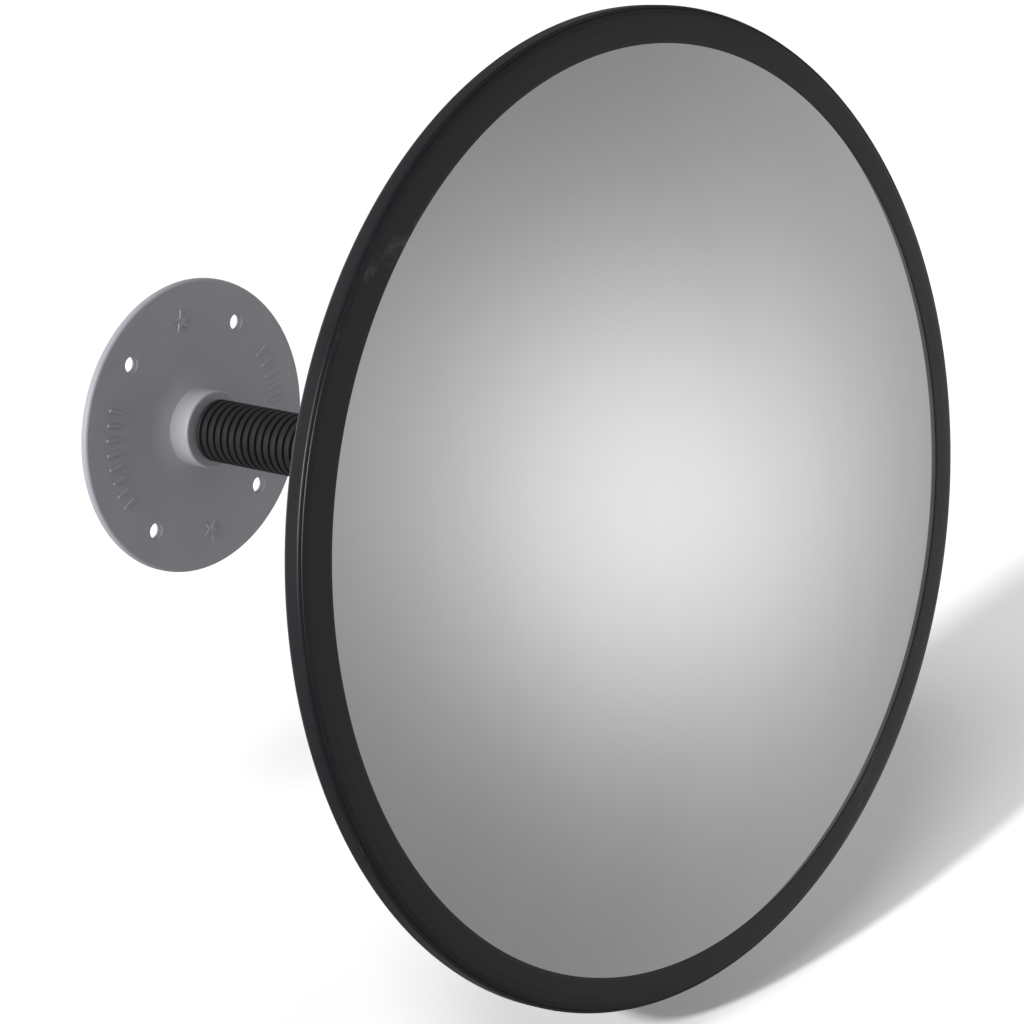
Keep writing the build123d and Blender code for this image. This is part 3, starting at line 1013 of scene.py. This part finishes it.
# mirror head, z = 0 at the rim's widest circle
headSizes = {
    "rim": 150.0, "lip": 139.0, "lipRise": 2.6, "bandRise": 2.1,
    "trimBack": -5.6, "backLip": 139.5, "wall": 2.2,
    "domeFoot": 141.5, "domeThick": 2.0, "domeSphere": 282.0, "flange": 147.0, "flangeTop": 1.05,
    "coverThick": 2.0, "coverBend": 134.0, "coverFlat": 56.0, "coverStep": 0.4,
    "bendRound": 4.0, "flatRound": 3.0,
}


def buildTrim(sizes):
    rim, lip, rise = sizes["rim"], sizes["lip"], sizes["lipRise"]
    top = sizes["flangeTop"]
    bottom = top - sizes["domeThick"] - sizes["coverThick"]
    corners = [
        (sizes["backLip"], bottom, 0.1),
        (sizes["backLip"], sizes["trimBack"], 0.7),
        (rim, sizes["trimBack"], 1.7),
        (rim, 0.15, 0.9),
        (rim - 0.3, 0.65, 0.5),
        (rim - 0.8, 0.74, 0.2),  # fine groove round the outer edge
        (rim - 0.92, 0.52, 0.08),
        (rim - 1.15, 1.08, 0.35),
        (rim - 2.6, 1.6, 3.0),
        (rim - 5.5, sizes["bandRise"], 6.0),
        (lip + 1.0, rise, 1.0),
        (lip, rise, 0.03),
        (lip, rise - 0.06, 0),
        (sizes["domeFoot"] + 0.25, top, 0),
        (rim - sizes["wall"], top, 0.3),
        (rim - sizes["wall"], bottom, 0.3),
    ]
    mesh = latheMesh("edgeTrim", softened(corners, 8), headFrame, 384)
    addPiece("edgeTrim", mesh, trimRubber, chain[-1], ["edge_trim"], 50)


def buildDome(sizes):
    # spherical cap and flat flange, one thickness
    foot = sizes["domeFoot"]
    outerR, innerR = sizes["domeSphere"], sizes["domeSphere"] - sizes["domeThick"]
    top = sizes["flangeTop"]
    low = top - sizes["domeThick"]
    centre = top - math.sqrt(outerR ** 2 - foot ** 2)
    outerEnd = math.degrees(math.asin(foot / outerR))
    innerEnd = math.degrees(math.acos((low - centre) / innerR))
    outline = arcPoints((0, centre), outerR, 0, outerEnd, 72)
    edge = [(sizes["flange"], top, 0.3), (sizes["flange"], low, 0.3), (foot, low, 0), (foot, top, 0)]
    outline += softened(edge, 3)[:8]  # only the two rounded corners
    outline += arcPoints((0, centre), innerR, innerEnd, 0, 72)
    mesh = latheMesh("mirrorDome", outline, headFrame, 288)
    addPiece("mirrorDome", mesh, mirrorSilver, chain[-1], ["mirror_dome"], 20)


def buildCover(sizes):
    # dished back: flat rim in the trim, long cone, flat middle
    top = sizes["flangeTop"] - sizes["domeThick"]
    low = top - sizes["coverThick"]
    flat = bossAhead / mm + plateSizes["bossFace"]
    inner = plateSizes["recessRadius"]
    corners = [
        (inner, flat, 0.2),
        *acrossFace(inner, sizes["coverFlat"] - sizes["flatRound"], flat, 8),
        (sizes["coverFlat"], flat, sizes["flatRound"]),
        (sizes["coverBend"], low, sizes["bendRound"]),
        (sizes["flange"], low, 0.3),
        (sizes["flange"], top, 0.3),
        (sizes["coverBend"] - sizes["coverStep"], top, sizes["bendRound"]),
        (sizes["coverFlat"] - sizes["coverStep"], flat + sizes["coverThick"], sizes["flatRound"]),
        (inner, flat + sizes["coverThick"], 0.2),
    ]
    cover = makeObject("backCover", latheMesh("backCover", softened(corners, 8), Matrix.Identity(4), 256))
    r, thick = plateSizes["holeRadius"], sizes["coverThick"]
    outline = [(0, flat - 1), (r, flat - 1), (r, flat + thick + 1), (0, flat + thick + 1)]
    cutter = makeObject("cutter", latheMesh("cutter", outline, Matrix.Identity(4), 48))
    mesh = combined(cover, [holeCopies("holes", cutter, plateSizes, coverPlastic)], "DIFFERENCE")
    mesh.transform(headFrame)
    addPiece("backCover", mesh, coverPlastic, chain[-1], ["back_cover"], even=True)


buildTrim(headSizes)
buildDome(headSizes)
buildCover(headSizes)
print("mirror head made")

# plate screws
screwSizes = {
    "shank": 2.5, "headRadius": 4.6, "headHeight": 2.6, "reach": 11.9,
    "driveLength": 2.6, "driveWidth": 0.55, "driveDepth": 1.5, "driveClear": 0.4,
    "lengthLeft": 0.35, "widthLeft": 0.75,  # parts of a wing's size left at its bottom
    "tipBreak": 0.5,
}


def panScrew(sizes, face):
    # pan head below the plate's face, cross recess with tapered wings
    tip = face + sizes["reach"]
    corners = [
        (0, face - sizes["headHeight"], 0),
        (sizes["headRadius"] * 0.5, face - sizes["headHeight"] * 0.98, 2.0),
        (sizes["headRadius"], face - sizes["headHeight"] * 0.45, 1.2),
        (sizes["headRadius"], face, 0.15),
        (sizes["shank"], face, 0),
        (sizes["shank"], tip - sizes["tipBreak"], 0),
        (sizes["shank"] - sizes["tipBreak"], tip, 0),
        (0, tip, 0),
    ]
    screw = makeObject("screw", latheMesh("screw", softened(corners, 5), Matrix.Identity(4), 64))
    wings = []
    for turn in (0, math.pi / 2):
        bm = bmesh.new()
        bmesh.ops.create_cube(bm, size=1)
        for v in bm.verts:
            deep = v.co.z > 0
            v.co.x *= 2 * sizes["driveLength"] * (sizes["lengthLeft"] if deep else 1.0) * mm
            v.co.y *= 2 * sizes["driveWidth"] * (sizes["widthLeft"] if deep else 1.0) * mm
            sink = sizes["driveDepth"] if deep else -sizes["driveClear"]
            v.co.z = (face - sizes["headHeight"] + sink) * mm
        wings.append(makeObject("wing", meshFrom("wing", bm, Matrix.Rotation(turn, 4, "Z"))))
    return makeObject("screw", combined(screw, wings, "DIFFERENCE"))


plateFace = bossAhead / mm + plateSizes["bossFace"] - plateSizes["thick"]
screws = holeCopies("screws", panScrew(screwSizes, plateFace), plateSizes, zincSteel)
screwMesh = screws.data
bpy.data.objects.remove(screws)
screwMesh.transform(headFrame)
addPiece("mirrorPlateScrews", screwMesh, zincSteel, chain[-1], ["mirror_plate_screws"], 30)

# hidden pieces that stay as the frame gives them
for node in ("mirror_plate_nuts", "mirror_plate_washers", "load_plate"):
    part = frame["nodes"][node]
    part.data.materials.clear()
    part.data.materials.append(zincSteel)
print("screws made")

# floor, light and camera
studio = {
    "azimuth": -48.143, "elevation": 12.84, "distance": 1.170, "lens": 137.51,
    "aim": (-0.0236, -0.1636, -0.0006),
    "floorDrop": 0.022, "floorShade": 0.55,
    # direction, strength and apparent width of each low sun
    "suns": [((-2.5, -0.96, 1.0), 7.0, 2.5), ((-1.2, -0.74, 1.0), 2.7, 14.0)],
    "sideFrom": (-0.98, 0.06, 0.2), "sideDistance": 2.5, "sideSize": 1.2, "sidePower": 66.0,
    "lampAim": (0, -0.1, 0), "fill": 0.7,
}
# the soft surroundings that shiny things reflect: one bright patch, wider to the right
glow = {
    "azimuth": 31.7, "elevation": -3.7, "left": 0.591, "right": 0.877, "above": 0.43, "below": 0.456,
    "skew": -0.148, "power": 1.046, "level": 0.61, "base": 0.215, "frontFade": 0.3,
    "behind": 0.9, "behindFrom": 0.75, "behindFull": 0.95,
}


def buildFloor(values):
    bm = bmesh.new()
    half = 20.0
    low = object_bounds()[0].z - values["floorDrop"]
    corners = [bm.verts.new((x * half, y * half, low)) for x, y in ((-1, -1), (1, -1), (1, 1), (-1, 1))]
    bm.faces.new(corners)
    mesh = bpy.data.meshes.new("floor")
    bm.to_mesh(mesh)
    bm.free()
    floor = makeObject("floor", mesh)
    material, _, shader = newMaterial("floorWhite")
    shader.inputs["Base Color"].default_value = (*[values["floorShade"]] * 3, 1.0)
    shader.inputs["Roughness"].default_value = 0.9
    shader.inputs["Specular IOR Level"].default_value = 0.0
    mesh.materials.append(material)
    floor.visible_glossy = False
    floor.visible_diffuse = False
    floor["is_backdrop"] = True


def compass(azimuth, elevation):
    # unit vector; azimuth turns from -y towards +x
    a, e = math.radians(azimuth), math.radians(elevation)
    return Vector((math.sin(a) * math.cos(e), -math.cos(a) * math.cos(e), math.sin(e)))


def buildWorld(fill, look):
    # white backdrop, even fill, and the glow for reflections
    world = bpy.data.worlds.new("studio")
    scene.world = world
    world.use_nodes = True
    tree = world.node_tree
    tree.nodes.clear()
    direction = put(tree, "ShaderNodeTexCoord").outputs["Generated"]

    def towards(axis):
        node = put(tree, "ShaderNodeVectorMath", operation="DOT_PRODUCT")
        tree.links.new(direction, node.inputs[0])
        node.inputs[1].default_value = axis
        return node.outputs["Value"]

    middle = compass(look["azimuth"], look["elevation"])
    across = compass(look["azimuth"] + 90, 0)
    aside = towards(across)
    height = calc(tree, "ADD", towards(across.cross(middle)), calc(tree, "MULTIPLY", aside, look["skew"]))
    total = 0.0
    for offset, side, width in (
        (aside, "MAXIMUM", look["right"]), (aside, "MINIMUM", look["left"]),
        (height, "MAXIMUM", look["above"]), (height, "MINIMUM", look["below"]),
    ):
        part = calc(tree, "DIVIDE", calc(tree, side, offset, 0.0), width)
        total = calc(tree, "ADD", calc(tree, "MULTIPLY", part, part), total)
    fade = calc(tree, "EXPONENT", calc(tree, "MULTIPLY", calc(tree, "POWER", total, look["power"]), -1.0))
    front = spread(tree, towards(middle), -look["frontFade"], look["frontFade"])
    patch = calc(tree, "MULTIPLY", calc(tree, "MULTIPLY", fade, look["level"]), front)
    wall = towards((0, 1, 0))
    behind = spread(tree, wall, look["behindFrom"], look["behindFull"], 0.0, look["behind"])
    shiny = calc(tree, "ADD", calc(tree, "ADD", patch, behind), look["base"])
    rays = put(tree, "ShaderNodeLightPath").outputs
    glossy = rays["Is Glossy Ray"]
    even = calc(tree, "MULTIPLY", calc(tree, "SUBTRACT", 1.0, glossy), fill)
    level = calc(tree, "ADD", calc(tree, "MULTIPLY", glossy, shiny), even)
    level = calc(tree, "MAXIMUM", level, rays["Is Camera Ray"])
    shade = put(tree, "ShaderNodeBackground")
    shade.inputs["Color"].default_value = (1, 1, 1, 1)
    tree.links.new(level, shade.inputs["Strength"])
    out = put(tree, "ShaderNodeOutputWorld")
    tree.links.new(shade.outputs[0], out.inputs[0])


def placeLamp(name, data, origin, target):
    lamp = bpy.data.objects.new(name, data)
    lamp.location = origin
    lamp.rotation_mode = "QUATERNION"
    lamp.rotation_quaternion = (target - origin).to_track_quat("-Z", "Y")
    scene.collection.objects.link(lamp)
    return lamp


def lampReaches(lamp, names, state):
    # limits a lamp to these objects, or keeps it off them
    group = bpy.data.collections.new(lamp.name + "Receivers")
    lamp.light_linking.receiver_collection = group
    for name in names:
        group.objects.link(bpy.data.objects[name])
    for entry in group.collection_objects:
        entry.light_linking.link_state = state


def buildLamps(values):
    # two low suns draw the shadows on the floor; a broad panel at the side lights the object
    aim = Vector(values["lampAim"])
    for i, (away, strength, angle) in enumerate(values["suns"]):
        data = bpy.data.lights.new("sun", "SUN")
        data.angle = math.radians(angle)
        data.energy = strength
        sun = placeLamp(f"sun{i + 1}", data, aim + Vector(away), aim)
        lampReaches(sun, ["floor"], "INCLUDE")
    data = bpy.data.lights.new("panel", "AREA")
    data.shape = "DISK"
    data.size = values["sideSize"]
    data.energy = values["sidePower"]
    away = Vector(values["sideFrom"]).normalized() * values["sideDistance"]
    panel = placeLamp("panel", data, aim + away, aim)
    lampReaches(panel, ["mirrorDome", "floor"], "EXCLUDE")


def buildCamera(values):
    back = compass(values["azimuth"], values["elevation"])
    data = bpy.data.cameras.new("camera")
    data.lens = values["lens"]
    data.sensor_width = 36.0
    data.clip_end = 100
    camera = bpy.data.objects.new("camera", data)
    camera.location = Vector(values["aim"]) + back * values["distance"]
    camera.rotation_mode = "QUATERNION"
    camera.rotation_quaternion = (-back).to_track_quat("-Z", "Y")
    scene.collection.objects.link(camera)
    scene.camera = camera


buildFloor(studio)
buildWorld(studio["fill"], glow)
buildLamps(studio)
buildCamera(studio)
scene.view_settings.view_transform = "Standard"
print("studio made")
